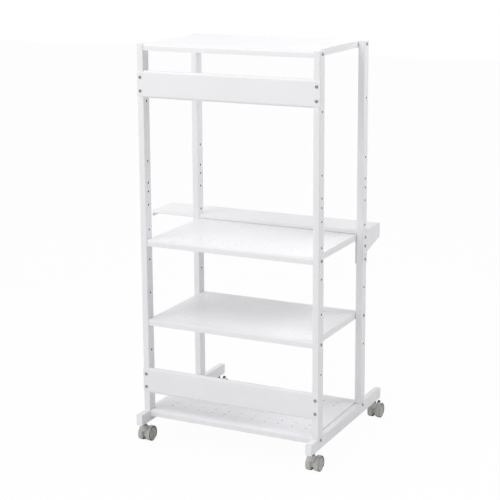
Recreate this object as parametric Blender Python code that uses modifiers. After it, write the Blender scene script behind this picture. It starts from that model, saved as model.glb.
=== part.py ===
"""Rolling storage rack: white tube frame, folded steel trays, front rails and twin-wheel casters.

Right is +X, the back is +Y and the floor is Z = 0. The origin is on the floor under the middle of the
whole rack. Lengths below are in millimetres and are turned into metres by MM.
"""

import math

import bmesh
import bpy
from mathutils import Matrix, Vector

MM = 0.001

# Frame
FRAME_WIDTH = 650.0  # over the outer faces of the left and right uprights
FRAME_DEPTH = 405.0  # over the outer faces of the front and rear uprights
FRAME_TOP = 1360.0
TUBE_WIDTH = 23.0
TUBE_DEPTH = 38.0
TUBE_WALL = 1.5
TUBE_CORNER = 3.0
RAIL_HEIGHT = 38.0
RAIL_FRONT_REACH = 50.0  # foot rail in front of the front uprights
RAIL_REAR_REACH = 149.0  # foot rail behind the rear uprights
CAP_PLATE = 3.0
CAP_PLUG = 9.0

# Casters
WHEEL_RADIUS = 25.0
WHEEL_WIDTH = 18.0
WEB_THICKNESS = 8.0
WHEEL_SIDE_GAP = 0.5
HUB_RADIUS = 7.0
HUB_DRAFT = 1.0
DISH_DEPTH = 3.0  # of the wheel's outer face inside its rim
RIM_STEP = 7.0  # from the tread in to the dish
SHOULDER = 3.0  # of the tread's outer edge
INNER_SHOULDER = 2.0
TRAIL = 20.0  # wheel axle behind the swivel axis
HOOD_CLEARANCE = 1.0  # between the tread and the hood
HOOD_WALL = 2.2
HOOD_SKIRT = 8.0  # height of the hood's lower edge over the floor
LEVER_REACH = 42.0  # tip of a rear caster's stopper from the axle
LEVER_ANGLE = math.radians(35)  # stopper above the horizontal
LEVER_WIDTH = 9.0
LEVER_THICKNESS = 5.0
BOSS_RADIUS = 10.0
BOSS_TOP = 2 * WHEEL_RADIUS + 9.0
AXLE_RADIUS = 3.0
AXLE_INSET = 3.0  # axle ends behind the wheels' outer faces
AXLE_CLEARANCE = 0.15
STEM_RADIUS = 5.0
STEM_BOTTOM = 2 * WHEEL_RADIUS - 1.0
STEM_CLEARANCE = 0.2
STEM_CHAMFER = 1.0
STEM_END_GAP = 1.0  # from the stem to the floor of its bore
STEM_GRIP = 26.0  # length of stem inside the foot rail
COLLAR_RADIUS = 8.0
CASTER_HEIGHT = 2 * WHEEL_RADIUS + 18.0  # floor to the underside of the foot rail
STEM_FROM_END = 29.0  # swivel axis in from each open end of a foot rail

# Trays
SHEET = 1.2
LIP = 22.0
SHELF_SIDE_GAP = 0.3
SHELF_INSET = 2.0  # shelf front and back edges inside the uprights' faces
SHELF_NOSE = 10.0
BOTTOM_SHELF_DROP = 8.0  # bottom shelf screws under the top of the foot rails
SHELF_SCREW_HEIGHTS = {
    "bottom": CASTER_HEIGHT + RAIL_HEIGHT - BOTTOM_SHELF_DROP,
    "lower": 421.0,
    "upper": 696.0,
    "top": FRAME_TOP - LIP / 2,
}
PERFORATED = ("bottom", "lower", "upper")
PERF_RADIUS = 3.5
PERF_PITCH = 50.0
PERF_COLUMNS = 11
PERF_FIRST_ROW = 66.0  # from the front or back edge of the shelf
PERF_ROW_STEP = 31.0

# Front panels
PANEL_HEIGHT = 90.0
UPPER_PANEL_DROP = 131.5  # upper panel centre under the frame top
PANEL_CENTRES = {"lower": 214.5, "upper": FRAME_TOP - UPPER_PANEL_DROP}
PANEL_NOSE = 9.0
PANEL_RETURN = 9.0  # how far the rolled top and bottom reach back between the uprights
PANEL_SCREW_SPAN = 45.0

# Rear tray and its brackets
TRAY_OVERHANG = 169.0  # left end of the tray outside the left uprights
TRAY_FRONT = 371.0
TRAY_BACK = 522.0
TRAY_FRONT_LIP = 11.0
TRAY_OVER_SHELF = 1.0  # under the tray's front lip, where it passes over the upper shelf
TRAY_TOP = SHELF_SCREW_HEIGHTS["upper"] + LIP / 2 + TRAY_OVER_SHELF + TRAY_FRONT_LIP
TRAY_NOSE = 3.0
BRACKET_SHEET = 2.0
BRACKET_TIP = 49.0  # height of the bracket's free end
BRACKET_ROOT = 76.0  # depth of the bracket where it meets the upright
BRACKET_FOOT = 605.0
BRACKET_BOLTS = (620.0, 666.0)
BRACKET_SPARE_HOLE = 636.0
BACKING_SHEET = 3.0
BACKING_TOP_GAP = 1.0  # under the upper shelf's lip

# Holes and screws
SPARE_HOLES = (320.0, 521.0, BRACKET_SPARE_HOLE, 739.0, 823.0, 868.0, 898.0, 971.0, 1171.0)
HOLE_RADIUS = 3.2
SCREW_HOLE_RADIUS = 2.8
SHANK_RADIUS = 2.4
HEAD_RADIUS = 5.5
HEAD_HEIGHT = 2.4
SCREW_PAST_LIP = 4.0
PANEL_SCREW_LENGTH = 12.0
GAP = 0.3
HOLE_SEGMENTS = 10
PERF_SEGMENTS = 8
SCREW_SEGMENTS = 12
STEM_SEGMENTS = 16
BOSS_SEGMENTS = 20
WHEEL_SEGMENTS = 24
HOOD_SEGMENTS = 48
CORNER_SEGMENTS = 2
INNER_CORNER_SEGMENTS = 1
NOSE_SEGMENTS = 4
SMALLEST = 0.1  # merge distance of turned profiles
SMOOTH_ANGLE = math.radians(35)

# Derived positions, measured from the outer front left corner of the frame
WHEEL_OUTER = WEB_THICKNESS / 2 + WHEEL_SIDE_GAP + WHEEL_WIDTH
HOOD_RADIUS = WHEEL_RADIUS + HOOD_CLEARANCE + HOOD_WALL
OUTER_RIGHT = FRAME_WIDTH - TUBE_WIDTH / 2 + WHEEL_OUTER
OUTER_FRONT = -RAIL_FRONT_REACH - GAP - CAP_PLATE
LEVER_BACK = LEVER_REACH * math.cos(LEVER_ANGLE) + LEVER_THICKNESS / 2 * math.sin(LEVER_ANGLE)
OUTER_BACK = FRAME_DEPTH + RAIL_REAR_REACH - STEM_FROM_END + TRAIL + LEVER_BACK
CENTRE_X = (OUTER_RIGHT - TRAY_OVERHANG) / 2
CENTRE_Y = (OUTER_BACK + OUTER_FRONT) / 2
RAIL_TOP = CASTER_HEIGHT + RAIL_HEIGHT
FRONT_POST_Y = TUBE_DEPTH / 2
REAR_POST_Y = FRAME_DEPTH - TUBE_DEPTH / 2
LEFT_POST_X = TUBE_WIDTH / 2
RIGHT_POST_X = FRAME_WIDTH - TUBE_WIDTH / 2
SIDES = {"left": LEFT_POST_X, "right": RIGHT_POST_X}
ENDS = {"front": FRONT_POST_Y, "rear": REAR_POST_Y}
SWIVEL_Y = {
    "front": STEM_FROM_END - RAIL_FRONT_REACH,
    "rear": FRAME_DEPTH + RAIL_REAR_REACH - STEM_FROM_END,
}

FINISHES = {
    "powder": ((0.87, 0.87, 0.875), 0.42, 0.0),
    "cap": ((0.84, 0.85, 0.865), 0.5, 0.0),
    "zinc": ((0.55, 0.58, 0.6), 0.35, 1.0),
    "stem": ((0.5, 0.5, 0.5), 0.3, 1.0),
    "hood": ((0.42, 0.41, 0.39), 0.5, 0.0),
    "wheel": ((0.3, 0.295, 0.28), 0.55, 0.0),
}


def clear_scene():
    for obj in list(bpy.data.objects):
        bpy.data.objects.remove(obj)


def collection(name, hidden):
    made = bpy.data.collections.new(name)
    bpy.context.scene.collection.children.link(made)
    made.hide_render = hidden
    return made


def material(name, finish):
    colour, roughness, metallic = FINISHES[finish]
    made = bpy.data.materials.new(name)
    made.use_nodes = True
    shader = made.node_tree.nodes["Principled BSDF"]
    shader.inputs["Base Color"].default_value = (*colour, 1.0)
    shader.inputs["Roughness"].default_value = roughness
    shader.inputs["Metallic"].default_value = metallic
    return made


def placed(x, y, z):
    """A point given from the frame's outer front left corner, as scene metres."""
    return Vector((x - CENTRE_X, y - CENTRE_Y, z)) * MM


def finish_mesh(bm, name):
    bmesh.ops.scale(bm, vec=(MM, MM, MM), verts=bm.verts)
    bmesh.ops.recalc_face_normals(bm, faces=bm.faces)
    mesh = bpy.data.meshes.new(name)
    bm.to_mesh(mesh)
    bm.free()
    mesh.shade_smooth()
    mesh.set_sharp_from_angle(angle=SMOOTH_ANGLE)
    return mesh


def node(name, bm, finish, location):
    obj = bpy.data.objects.new(name, finish_mesh(bm, name))
    obj.data.materials.append(material(name, finish))
    obj.location = location
    NODES.objects.link(obj)
    return obj


def boolean(obj, bm, operation, label):
    """Cuts or joins a hidden helper that shares the object's own coordinates."""
    helper = bpy.data.objects.new(f"{obj.name}_{label}", finish_mesh(bm, label))
    helper.location = obj.location
    apply_helper(obj, helper, operation, label)


def apply_helper(obj, helper, operation, label):
    helper.display_type = "WIRE"
    helper.hide_render = True
    HELPERS.objects.link(helper)
    modifier = obj.modifiers.new(label, "BOOLEAN")
    modifier.operation = operation
    modifier.solver = "EXACT"
    modifier.object = helper


def add_box(bm, low, high):
    """A box between two corners; returns its new vertices."""
    low = Vector(low)
    size = Vector(high) - low
    made = bmesh.ops.create_cube(bm, size=1.0)["verts"]
    bmesh.ops.transform(
        bm, matrix=Matrix.Translation(low + size / 2) @ Matrix.Diagonal((*size, 1.0)), verts=made
    )
    return made


def add_rod(bm, start, axis, length, radius, segments):
    """A closed cylinder from start along the unit vector axis."""
    axis = Vector(axis)
    turn = Vector((0, 0, 1)).rotation_difference(axis).to_matrix().to_4x4()
    middle = Vector(start) + axis * length / 2
    bmesh.ops.create_cone(
        bm,
        cap_ends=True,
        segments=segments,
        radius1=radius,
        radius2=radius,
        depth=length,
        matrix=Matrix.Translation(middle) @ turn,
    )


def edges_along(verts, axis, test):
    """Edges of these vertices that run along one axis and whose middle passes the test."""
    found = []
    for edge in {edge for vert in verts for edge in vert.link_edges}:
        run = edge.verts[1].co - edge.verts[0].co
        middle = (edge.verts[0].co + edge.verts[1].co) / 2
        if abs(run[axis]) > 0.999 * run.length and test(middle):
            found.append(edge)
    return found


def rounded_box(bm, low, high, axis, radius, segments, test=lambda middle: True):
    """A box whose edges along one axis are rounded, where the test holds."""
    verts = add_box(bm, low, high)
    edges = edges_along(verts, axis, test)
    bmesh.ops.bevel(
        bm,
        geom=edges,
        offset=radius,
        offset_type="OFFSET",
        affect="EDGES",
        segments=segments,
        profile=0.5,
        material=-1,
    )


def turned(name, profile, axis, segments, closed=False):
    """A hidden or visible turned piece: (radius, along) points under a Screw modifier.

    The points run from the far end of the axis back along the outer side. A closed profile is a
    ring that stays clear of the axis.
    """
    bm = bmesh.new()
    points = [bm.verts.new((radius * MM, 0, along * MM)) for radius, along in profile]
    following = points[1:] + points[:1] if closed else points[1:]
    for pair in zip(points, following):
        bm.edges.new(pair)
    mesh = bpy.data.meshes.new(name)
    bm.to_mesh(mesh)
    bm.free()
    obj = bpy.data.objects.new(name, mesh)
    obj.rotation_euler = Vector((0, 0, 1)).rotation_difference(Vector(axis)).to_euler()
    modifier = obj.modifiers.new("turn", "SCREW")
    modifier.steps = segments
    modifier.render_steps = segments
    modifier.use_merge_vertices = True
    modifier.merge_threshold = SMALLEST * MM
    return obj


def turned_node(name, profile, axis, segments, finish, location, closed=False):
    obj = turned(name, profile, axis, segments, closed)
    obj.data.materials.append(material(name, finish))
    obj.location = location
    NODES.objects.link(obj)


def screw_head_profile(shank_length):
    """Pan head above its seat and a plain shank below it, as (radius, along) points."""
    return [
        (0.0, HEAD_HEIGHT),
        (HEAD_RADIUS * 0.55, HEAD_HEIGHT * 0.92),
        (HEAD_RADIUS * 0.9, HEAD_HEIGHT * 0.5),
        (HEAD_RADIUS, 0.0),
        (SHANK_RADIUS, 0.0),
        (SHANK_RADIUS, -shank_length),
        (0.0, -shank_length),
    ]


def make_upright(side, end):
    x = SIDES[side]
    y = ENDS[end]
    bottom = RAIL_TOP + GAP
    half_x = TUBE_WIDTH / 2
    half_y = TUBE_DEPTH / 2
    height = FRAME_TOP - bottom
    bm = bmesh.new()
    rounded_box(bm, (-half_x, -half_y, 0), (half_x, half_y, height), 2, TUBE_CORNER, CORNER_SEGMENTS)
    obj = node(f"upright_{end}_{side}", bm, "powder", placed(x, y, bottom))
    bm = bmesh.new()
    inner_x = half_x - TUBE_WALL
    inner_y = half_y - TUBE_WALL
    rounded_box(
        bm,
        (-inner_x, -inner_y, -TUBE_WALL),
        (inner_x, inner_y, height - TUBE_WALL),
        2,
        TUBE_CORNER - TUBE_WALL,
        INNER_CORNER_SEGMENTS,
    )
    boolean(obj, bm, "DIFFERENCE", "hollow")
    bm = bmesh.new()
    reach = TUBE_WIDTH + 2 * GAP
    for level in SPARE_HOLES + BRACKET_BOLTS:
        add_rod(bm, (-reach / 2, 0, level - bottom), (1, 0, 0), reach, HOLE_RADIUS, HOLE_SEGMENTS)
    for name in ("lower", "upper", "top"):
        level = SHELF_SCREW_HEIGHTS[name] - bottom
        add_rod(bm, (-reach / 2, 0, level), (1, 0, 0), reach, SCREW_HOLE_RADIUS, HOLE_SEGMENTS)
    if end == "front":
        for level in panel_screw_heights():
            start = (0, -half_y - GAP, level - bottom)
            add_rod(bm, start, (0, 1, 0), TUBE_WALL + 2 * GAP, SCREW_HOLE_RADIUS, HOLE_SEGMENTS)
    boolean(obj, bm, "DIFFERENCE", "holes")


def panel_screw_heights():
    half = PANEL_SCREW_SPAN / 2
    return [centre + step for centre in PANEL_CENTRES.values() for step in (-half, half)]


def make_foot_rail(side):
    length = FRAME_DEPTH + RAIL_FRONT_REACH + RAIL_REAR_REACH
    half_x = TUBE_WIDTH / 2
    bm = bmesh.new()
    rounded_box(bm, (-half_x, 0, 0), (half_x, length, RAIL_HEIGHT), 1, TUBE_CORNER, CORNER_SEGMENTS)
    start = placed(SIDES[side], -RAIL_FRONT_REACH, CASTER_HEIGHT)
    obj = node(f"foot_rail_{side}", bm, "powder", start)
    bm = bmesh.new()
    inner_x = half_x - TUBE_WALL
    low = (-inner_x, -GAP, TUBE_WALL)
    high = (inner_x, length + GAP, RAIL_HEIGHT - TUBE_WALL)
    rounded_box(bm, low, high, 1, TUBE_CORNER - TUBE_WALL, INNER_CORNER_SEGMENTS)
    boolean(obj, bm, "DIFFERENCE", "hollow")
    bm = bmesh.new()
    reach = TUBE_WIDTH + 2 * GAP
    level = SHELF_SCREW_HEIGHTS["bottom"] - CASTER_HEIGHT
    for y in ENDS.values():
        start = (-reach / 2, y + RAIL_FRONT_REACH, level)
        add_rod(bm, start, (1, 0, 0), reach, SCREW_HOLE_RADIUS, HOLE_SEGMENTS)
    for y in SWIVEL_Y.values():
        start = (0, y + RAIL_FRONT_REACH, -GAP)
        add_rod(bm, start, (0, 0, 1), TUBE_WALL + 2 * GAP, STEM_RADIUS + GAP, STEM_SEGMENTS)
    boolean(obj, bm, "DIFFERENCE", "holes")


def make_rail_cap(side, end):
    """A moulded plug with a flat outer plate the size of the tube."""
    sign = -1 if end == "front" else 1
    y = -RAIL_FRONT_REACH if end == "front" else FRAME_DEPTH + RAIL_REAR_REACH
    half_x = TUBE_WIDTH / 2
    bm = bmesh.new()
    near = sign * GAP
    far = sign * (GAP + CAP_PLATE)
    low = (-half_x, min(near, far), 0)
    high = (half_x, max(near, far), RAIL_HEIGHT)
    rounded_box(bm, low, high, 1, TUBE_CORNER, CORNER_SEGMENTS)
    start = placed(SIDES[side], y, CASTER_HEIGHT)
    obj = node(f"rail_cap_{end}_{side}", bm, "cap", start)
    bm = bmesh.new()
    inset = TUBE_WALL + GAP
    near = sign * (GAP + CAP_PLATE / 2)
    far = -sign * CAP_PLUG
    low = (-half_x + inset, min(near, far), inset)
    high = (half_x - inset, max(near, far), RAIL_HEIGHT - inset)
    rounded_box(bm, low, high, 1, TUBE_CORNER - TUBE_WALL, INNER_CORNER_SEGMENTS)
    boolean(obj, bm, "UNION", "plug")


def nose_test(top, nose_height):
    return lambda middle: middle.z > top - nose_height


def folded_tray(name, low, high, nose, location):
    """An upside-down folded tray: top skin and four lips, front and back top edges rounded."""
    top_edge = nose_test(high[2], SHEET)
    bm = bmesh.new()
    rounded_box(bm, low, high, 0, nose, NOSE_SEGMENTS, top_edge)
    obj = node(name, bm, "powder", location)
    bm = bmesh.new()
    inner_low = (low[0] + SHEET, low[1] + SHEET, low[2] - SHEET)
    inner_high = (high[0] - SHEET, high[1] - SHEET, high[2] - SHEET)
    inner_edge = nose_test(inner_high[2], SHEET)
    rounded_box(bm, inner_low, inner_high, 0, nose - SHEET, NOSE_SEGMENTS, inner_edge)
    boolean(obj, bm, "DIFFERENCE", "underside")
    return obj


def shelf_span():
    start = TUBE_WIDTH + SHELF_SIDE_GAP
    return start, FRAME_WIDTH - start


def make_shelf(name):
    middle = SHELF_SCREW_HEIGHTS[name]
    left, right = shelf_span()
    depth = FRAME_DEPTH - 2 * SHELF_INSET
    width = right - left
    low = (0, 0, -LIP / 2)
    high = (width, depth, LIP / 2)
    obj = folded_tray(f"shelf_{name}", low, high, SHELF_NOSE, placed(left, SHELF_INSET, middle))
    bm = bmesh.new()
    for y in ENDS.values():
        for x in (-GAP, width - SHEET - GAP):
            start = (x, y - SHELF_INSET, 0)
            add_rod(bm, start, (1, 0, 0), SHEET + 2 * GAP, SCREW_HOLE_RADIUS, HOLE_SEGMENTS)
    if name in PERFORATED:
        first = width / 2 - PERF_PITCH * (PERF_COLUMNS - 1) / 2
        rows = [PERF_FIRST_ROW, PERF_FIRST_ROW + PERF_ROW_STEP]
        rows += [depth - row for row in rows]
        for y in rows:
            for column in range(PERF_COLUMNS):
                start = (first + column * PERF_PITCH, y, LIP / 2 - SHEET - GAP)
                add_rod(bm, start, (0, 0, 1), SHEET + 2 * GAP, PERF_RADIUS, PERF_SEGMENTS)
    boolean(obj, bm, "DIFFERENCE", "holes")


def make_panel(name):
    """A front strip over both front uprights, its top and bottom folded back between them."""
    half = PANEL_HEIGHT / 2
    face = -GAP - SHEET
    bm = bmesh.new()
    high = (FRAME_WIDTH, PANEL_RETURN, half)
    low = (0, face, -half)
    rounded_box(bm, low, high, 0, PANEL_NOSE, NOSE_SEGMENTS, lambda middle: middle.y < 0)
    location = placed(0, 0, PANEL_CENTRES[name])
    obj = node(f"front_panel_{name}", bm, "powder", location)
    bm = bmesh.new()
    low = (-GAP, face + SHEET, -half + SHEET)
    high = (FRAME_WIDTH + GAP, PANEL_RETURN + GAP, half - SHEET)
    inner_nose = PANEL_NOSE - SHEET
    front = lambda middle: middle.y < PANEL_NOSE
    rounded_box(bm, low, high, 0, inner_nose, NOSE_SEGMENTS, front)
    boolean(obj, bm, "DIFFERENCE", "inside")
    bm = bmesh.new()
    tab_back = -GAP
    inner = TUBE_WIDTH + GAP
    for start, stop in ((-GAP, inner), (FRAME_WIDTH - inner, FRAME_WIDTH + GAP)):
        add_box(bm, (start, tab_back, -half - GAP), (stop, PANEL_RETURN + 2 * GAP, half + GAP))
    boolean(obj, bm, "DIFFERENCE", "upright_notches")
    bm = bmesh.new()
    for x in SIDES.values():
        for z in (-PANEL_SCREW_SPAN / 2, PANEL_SCREW_SPAN / 2):
            start = (x, face - GAP, z)
            add_rod(bm, start, (0, 1, 0), SHEET + 2 * GAP, SCREW_HOLE_RADIUS, HOLE_SEGMENTS)
    boolean(obj, bm, "DIFFERENCE", "holes")


def make_rear_tray():
    """A long shallow tray behind the rear uprights, notched round them."""
    width = TRAY_OVERHANG + FRAME_WIDTH
    depth = TRAY_BACK - TRAY_FRONT
    low = (0, 0, -LIP)
    high = (width, depth, 0)
    start = placed(-TRAY_OVERHANG, TRAY_FRONT, TRAY_TOP)
    obj = folded_tray("rear_tray", low, high, TRAY_NOSE, start)
    bm = bmesh.new()
    notch_back = FRAME_DEPTH + GAP - TRAY_FRONT
    for x in (0, FRAME_WIDTH - TUBE_WIDTH):
        left = TRAY_OVERHANG + x - GAP
        right = left + TUBE_WIDTH + 2 * GAP
        add_box(bm, (left, -GAP, -LIP - GAP), (right, notch_back, GAP))
    boolean(obj, bm, "DIFFERENCE", "upright_notches")
    bm = bmesh.new()
    add_box(bm, (SHEET + GAP, -GAP, -LIP - GAP), (width + GAP, SHEET + GAP, -TRAY_FRONT_LIP))
    boolean(obj, bm, "DIFFERENCE", "low_front")


def outline_plate(name, outline, thickness, location):
    """A flat plate: a (y, z) outline given thickness along +X, made from a filled 2D curve."""
    curve = bpy.data.curves.new(name, "CURVE")
    curve.dimensions = "2D"
    curve.fill_mode = "BOTH"
    curve.extrude = thickness / 2 * MM
    spline = curve.splines.new("POLY")
    spline.points.add(len(outline) - 1)
    for point, (y, z) in zip(spline.points, outline):
        point.co = (y * MM, z * MM, 0, 1)
    spline.use_cyclic_u = True
    guide = bpy.data.objects.new(f"{name}_outline", curve)
    HELPERS.objects.link(guide)
    bpy.context.view_layer.update()
    bm = bmesh.new()
    bm.from_mesh(bpy.data.meshes.new_from_object(guide))
    bpy.data.objects.remove(guide)
    bmesh.ops.remove_doubles(bm, verts=bm.verts, dist=MM * 0.001)
    stand = Matrix(((0, 0, 1), (1, 0, 0), (0, 1, 0))).to_4x4()
    bmesh.ops.transform(bm, matrix=stand, verts=bm.verts)
    bmesh.ops.translate(bm, vec=(thickness / 2 * MM, 0, 0), verts=bm.verts)
    bmesh.ops.scale(bm, vec=(1 / MM, 1 / MM, 1 / MM), verts=bm.verts)
    return node(name, bm, "powder", location)


def bracket_outline(front, back, top):
    """Bracket seen from the side, with its leg down the rear upright."""
    root_back = FRAME_DEPTH
    return [
        (front, BRACKET_FOOT),
        (root_back, BRACKET_FOOT),
        (root_back, TRAY_TOP - BRACKET_ROOT),
        (back, TRAY_TOP - BRACKET_TIP),
        (back, top),
        (front, top),
    ]


def make_right_bracket():
    outline = bracket_outline(FRAME_DEPTH - TUBE_DEPTH, TRAY_BACK, TRAY_TOP)
    start = placed(FRAME_WIDTH + GAP, 0, 0)
    obj = outline_plate("bracket_right", outline, BRACKET_SHEET, start)
    drill_bracket(obj, REAR_POST_Y, BRACKET_BOLTS + (BRACKET_SPARE_HOLE,))


def drill_bracket(obj, y, levels):
    """Clears the given levels and the upper shelf's screw through a bracket plate."""
    bm = bmesh.new()
    reach = BRACKET_SHEET + 2 * GAP
    for z in levels:
        add_rod(bm, (-GAP, y, z), (1, 0, 0), reach, HOLE_RADIUS, HOLE_SEGMENTS)
    screw = (-GAP, y, SHELF_SCREW_HEIGHTS["upper"])
    add_rod(bm, screw, (1, 0, 0), reach, SCREW_HOLE_RADIUS, HOLE_SEGMENTS)
    boolean(obj, bm, "DIFFERENCE", "holes")


def make_backing_plate():
    """Inner clamp plate of the right bracket, with two welded studs that end in pan heads."""
    inner_face = FRAME_WIDTH - TUBE_WIDTH - GAP
    top = SHELF_SCREW_HEIGHTS["upper"] - LIP / 2 - BACKING_TOP_GAP
    low = (-BACKING_SHEET, -TUBE_DEPTH / 2, BRACKET_FOOT)
    high = (0, TUBE_DEPTH / 2, top)
    bm = bmesh.new()
    add_box(bm, low, high)
    obj = node("bracket_backing_right", bm, "powder", placed(inner_face, REAR_POST_Y, 0))
    add_studs(obj, TUBE_WIDTH + BRACKET_SHEET + 3 * GAP, BACKING_SHEET / 2)


def add_studs(obj, reach, root):
    """Joins a stud with a pan-headed end to a plate for each bracket bolt.

    reach is the seat of the head along +X, and root is where the stud starts behind it.
    """
    for number, z in enumerate(BRACKET_BOLTS):
        label = f"stud_{number}"
        profile = screw_head_profile(reach + root)
        helper = turned(f"{obj.name}_{label}", profile, (1, 0, 0), SCREW_SEGMENTS)
        helper.location = obj.location + Vector((reach, 0, z)) * MM
        apply_helper(obj, helper, "UNION", label)


def make_left_bracket():
    """Left support under the tray, with weld studs through the rear left upright."""
    front = TRAY_FRONT + TRAY_NOSE + GAP - REAR_POST_Y
    back = TRAY_BACK - TRAY_NOSE - GAP - REAR_POST_Y
    top = TRAY_TOP - SHEET - GAP
    outline = [
        (front, BRACKET_FOOT),
        (TUBE_DEPTH / 2, BRACKET_FOOT),
        (TUBE_DEPTH / 2, TRAY_TOP - BRACKET_ROOT),
        (back, TRAY_TOP - BRACKET_TIP),
        (back, top),
        (front, top),
    ]
    start = placed(-GAP - BRACKET_SHEET, REAR_POST_Y, 0)
    obj = outline_plate("bracket_left", outline, BRACKET_SHEET, start)
    drill_bracket(obj, 0, (BRACKET_SPARE_HOLE,))
    add_studs(obj, BRACKET_SHEET + TUBE_WIDTH + 2 * GAP, -BRACKET_SHEET / 2)


def make_screw(name, seat, axis, shank_length):
    """A pan-head screw whose head stands on seat and points along axis."""
    profile = screw_head_profile(shank_length)
    turned_node(name, profile, axis, SCREW_SEGMENTS, "zinc", seat)


def make_shelf_screws(name):
    """Four screws, through the uprights or foot rails into the shelf's side lips."""
    for side, sign in (("left", -1), ("right", 1)):
        for end, y in ENDS.items():
            stack = GAP
            if name == "upper" and end == "rear":
                stack += BRACKET_SHEET + GAP
            x = SIDES[side] + sign * (TUBE_WIDTH / 2 + stack)
            seat = placed(x, y, SHELF_SCREW_HEIGHTS[name])
            reach = stack + TUBE_WIDTH + SHELF_SIDE_GAP + SHEET + SCREW_PAST_LIP
            make_screw(f"screw_shelf_{name}_{end}_{side}", seat, (sign, 0, 0), reach)


def make_panel_screws(name):
    for side, x in SIDES.items():
        for label, step in (("low", -1), ("high", 1)):
            level = PANEL_CENTRES[name] + step * PANEL_SCREW_SPAN / 2
            seat = placed(x, -2 * GAP - SHEET, level)
            make_screw(f"screw_panel_{name}_{side}_{label}", seat, (0, -1, 0), PANEL_SCREW_LENGTH)


def make_stem(side, end):
    """Steel stem: grip length in the rail, collar under it, journal in the hood's boss."""
    top = CASTER_HEIGHT + STEM_GRIP
    collar_top = CASTER_HEIGHT - GAP
    collar_bottom = BOSS_TOP + GAP
    profile = [
        (0.0, top),
        (STEM_RADIUS - STEM_CHAMFER, top),
        (STEM_RADIUS, top - STEM_CHAMFER),
        (STEM_RADIUS, collar_top),
        (COLLAR_RADIUS, collar_top),
        (COLLAR_RADIUS, collar_bottom),
        (STEM_RADIUS, collar_bottom),
        (STEM_RADIUS, STEM_BOTTOM),
        (0.0, STEM_BOTTOM),
    ]
    swivel = placed(SIDES[side], SWIVEL_Y[end], 0)
    turned_node(f"caster_stem_{end}_{side}", profile, (0, 0, 1), STEM_SEGMENTS, "stem", swivel)


def make_hood(side, end):
    """Caster body: a hood that wraps both wheels, its centre web, the stem boss and two stub axles.

    The rear casters also have a stopper, whose tip sticks out behind the hood.
    """
    bm = bmesh.new()
    start = (-WHEEL_OUTER, TRAIL, WHEEL_RADIUS)
    add_rod(bm, start, (1, 0, 0), 2 * WHEEL_OUTER, HOOD_RADIUS, HOOD_SEGMENTS)
    start = placed(SIDES[side], SWIVEL_Y[end], 0)
    obj = node(f"caster_hood_{end}_{side}", bm, "hood", start)
    bm = bmesh.new()
    boss_bottom = WHEEL_RADIUS + HOOD_RADIUS / 2
    height = BOSS_TOP - boss_bottom
    add_rod(bm, (0, 0, boss_bottom), (0, 0, 1), height, BOSS_RADIUS, BOSS_SEGMENTS)
    boolean(obj, bm, "UNION", "boss")
    bm = bmesh.new()
    well = HOOD_RADIUS - HOOD_WALL
    for sign in (-1, 1):
        start = (sign * WEB_THICKNESS / 2, TRAIL, WHEEL_RADIUS)
        add_rod(bm, start, (sign, 0, 0), WHEEL_OUTER, well, HOOD_SEGMENTS)
    boolean(obj, bm, "DIFFERENCE", "wheel_wells")
    bm = bmesh.new()
    reach = WHEEL_OUTER - AXLE_INSET
    add_rod(bm, (-reach, TRAIL, WHEEL_RADIUS), (1, 0, 0), 2 * reach, AXLE_RADIUS, STEM_SEGMENTS)
    boolean(obj, bm, "UNION", "axle")
    bm = bmesh.new()
    below = WHEEL_RADIUS - HOOD_RADIUS - GAP
    low = (-WHEEL_OUTER - GAP, TRAIL - HOOD_RADIUS - GAP, below)
    add_box(bm, low, (WHEEL_OUTER + GAP, TRAIL + HOOD_RADIUS + GAP, HOOD_SKIRT))
    boolean(obj, bm, "DIFFERENCE", "skirt")
    bm = bmesh.new()
    bore_bottom = STEM_BOTTOM - STEM_END_GAP
    length = BOSS_TOP - bore_bottom + GAP
    bore_radius = STEM_RADIUS + STEM_CLEARANCE
    add_rod(bm, (0, 0, bore_bottom), (0, 0, 1), length, bore_radius, STEM_SEGMENTS)
    boolean(obj, bm, "DIFFERENCE", "stem_bore")
    if end == "rear":
        bm = bmesh.new()
        low = (-LEVER_WIDTH / 2, HOOD_RADIUS - HOOD_WALL / 2, -LEVER_THICKNESS / 2)
        verts = add_box(bm, low, (LEVER_WIDTH / 2, LEVER_REACH, LEVER_THICKNESS / 2))
        tilt = Matrix.Rotation(LEVER_ANGLE, 4, "X")
        axle = Matrix.Translation((0, TRAIL, WHEEL_RADIUS))
        bmesh.ops.transform(bm, matrix=axle @ tilt, verts=verts)
        boolean(obj, bm, "UNION", "stopper")


def make_wheel(side, end, hand):
    """A wheel turned about X: tread, rounded shoulders and a dished outer face."""
    inner = WEB_THICKNESS / 2 + WHEEL_SIDE_GAP
    outer = inner + WHEEL_WIDTH
    bore = AXLE_RADIUS + AXLE_CLEARANCE
    profile = [
        (bore, outer - HUB_DRAFT),
        (HUB_RADIUS, outer - HUB_DRAFT),
        (HUB_RADIUS + HUB_DRAFT, outer - DISH_DEPTH),
        (WHEEL_RADIUS - RIM_STEP, outer - DISH_DEPTH),
        (WHEEL_RADIUS - RIM_STEP + HUB_DRAFT, outer - HUB_DRAFT / 2),
        (WHEEL_RADIUS - SHOULDER, outer),
        (WHEEL_RADIUS - SHOULDER / 3, outer - SHOULDER / 3),
        (WHEEL_RADIUS, outer - SHOULDER),
        (WHEEL_RADIUS, inner + INNER_SHOULDER),
        (WHEEL_RADIUS - INNER_SHOULDER, inner),
        (bore, inner),
    ]
    hub = placed(SIDES[side], SWIVEL_Y[end] + TRAIL, WHEEL_RADIUS)
    axis = (-1, 0, 0) if hand == "a" else (1, 0, 0)
    name = f"caster_wheel_{end}_{side}_{hand}"
    turned_node(name, profile, axis, WHEEL_SEGMENTS, "wheel", hub, closed=True)


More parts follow.
